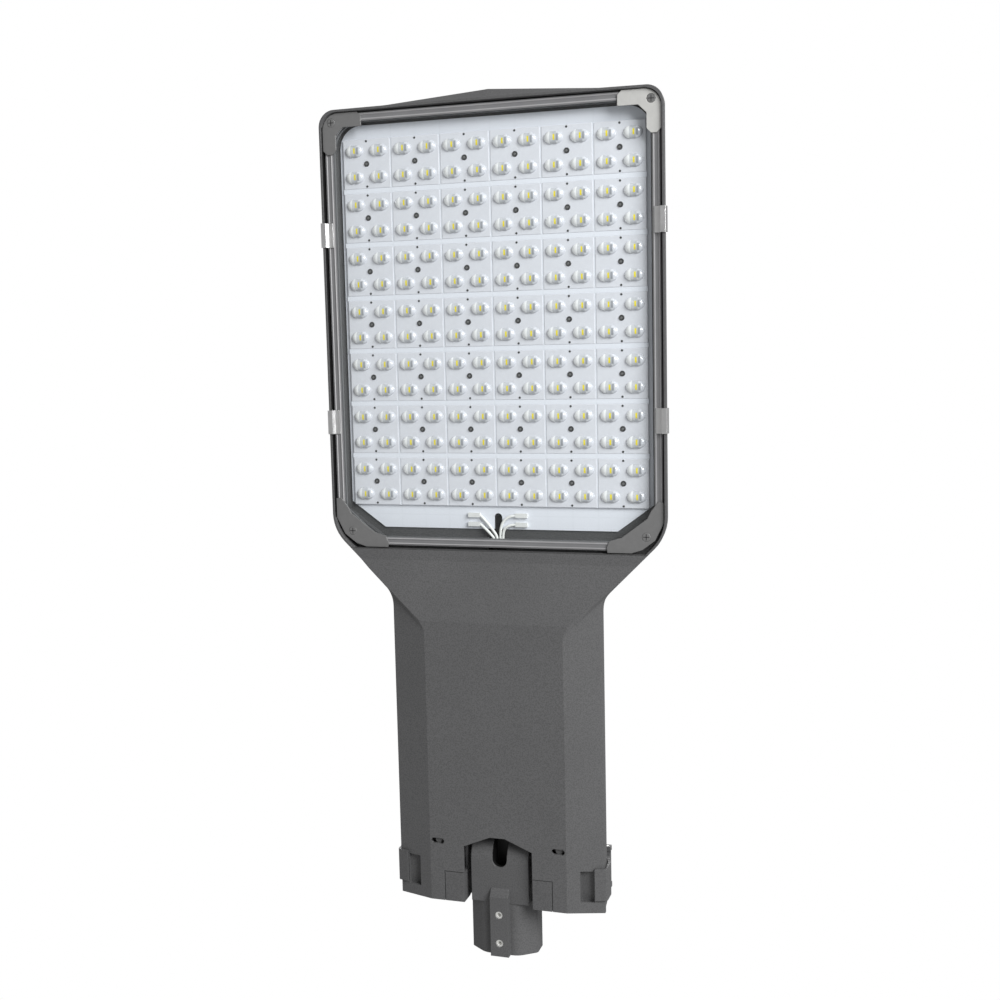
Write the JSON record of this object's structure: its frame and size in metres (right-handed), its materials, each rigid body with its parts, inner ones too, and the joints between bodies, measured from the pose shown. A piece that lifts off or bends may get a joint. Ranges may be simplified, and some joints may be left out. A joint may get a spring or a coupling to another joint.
{
  "type": "led street light head",
  "caption": "Flat street lamp head with a glazed lens field, a driver box behind it and a tilting socket for a round pole arm.",
  "frame": {"origin": "middle of the pole socket's mouth, on the socket's axis", "axes": "+Y from the pole to the nose, +Z to the roof, so the lamps shine to -Z"},
  "size_m": [0.3388, 0.8405, 0.0839],
  "materials": {
    "casting": "satin dark grey powder coat",
    "cover": "satin dark grey moulding",
    "glass": "clear toughened glass",
    "gasket": "grey silicone",
    "bright_steel": "satin stainless steel",
    "board": "white solder mask",
    "lens": "clear moulded acrylic",
    "chip": "yellow phosphor",
    "terminal": "white nylon",
    "wire": "white insulation",
    "zinc": "zinc plated steel",
    "driver_case": "plain aluminium",
    "black_plastic": "black moulding"
  },
  "bodies": {
    "root": {"spigot": "casting", "set_screws": "zinc"},
    "latch_left": {"latch_left": "casting"},
    "latch_right": {"latch_right": "casting"},
    "head": {"housing": "casting", "driver_cover": "cover", "glass_gasket": "gasket", "glass": "glass", "led_board": "board", "bracket_top_right": "bright_steel", "bracket_top_left": "bright_steel", "bracket_low_right": "bright_steel", "bracket_low_left": "bright_steel", "bracket_screws": "bright_steel", "spring_clips": "bright_steel", "lens_modules": "lens", "led_chips": "chip", "board_terminals": "terminal", "board_wires": "wire", "pivot_bolt": "zinc", "pivot_nut": "zinc", "pivot_washers": "zinc", "latch_pins": "zinc", "led_driver": "driver_case", "driver_screws": "zinc", "surge_protector": "black_plastic", "terminal_block": "black_plastic", "cable_gland": "black_plastic", "cover_screws": "zinc"}
  },
  "joints": [
    {"name": "spigot_tilt", "type": "hinge", "parent": "root", "child": "head", "pos_m": [0, 0.094, -0.004], "axis": [1, 0, 0], "range_deg": [-45, 15]},
    {"name": "latch_left_swing", "type": "hinge", "parent": "head", "child": "latch_left", "pos_m": [-0.0984, 0.08225, 0.017], "axis": [0, 1, 0], "range_deg": [0, 50]},
    {"name": "latch_right_swing", "type": "hinge", "parent": "head", "child": "latch_right", "pos_m": [0.0984, 0.08225, 0.017], "axis": [0, -1, 0], "range_deg": [0, 50]}
  ]
}
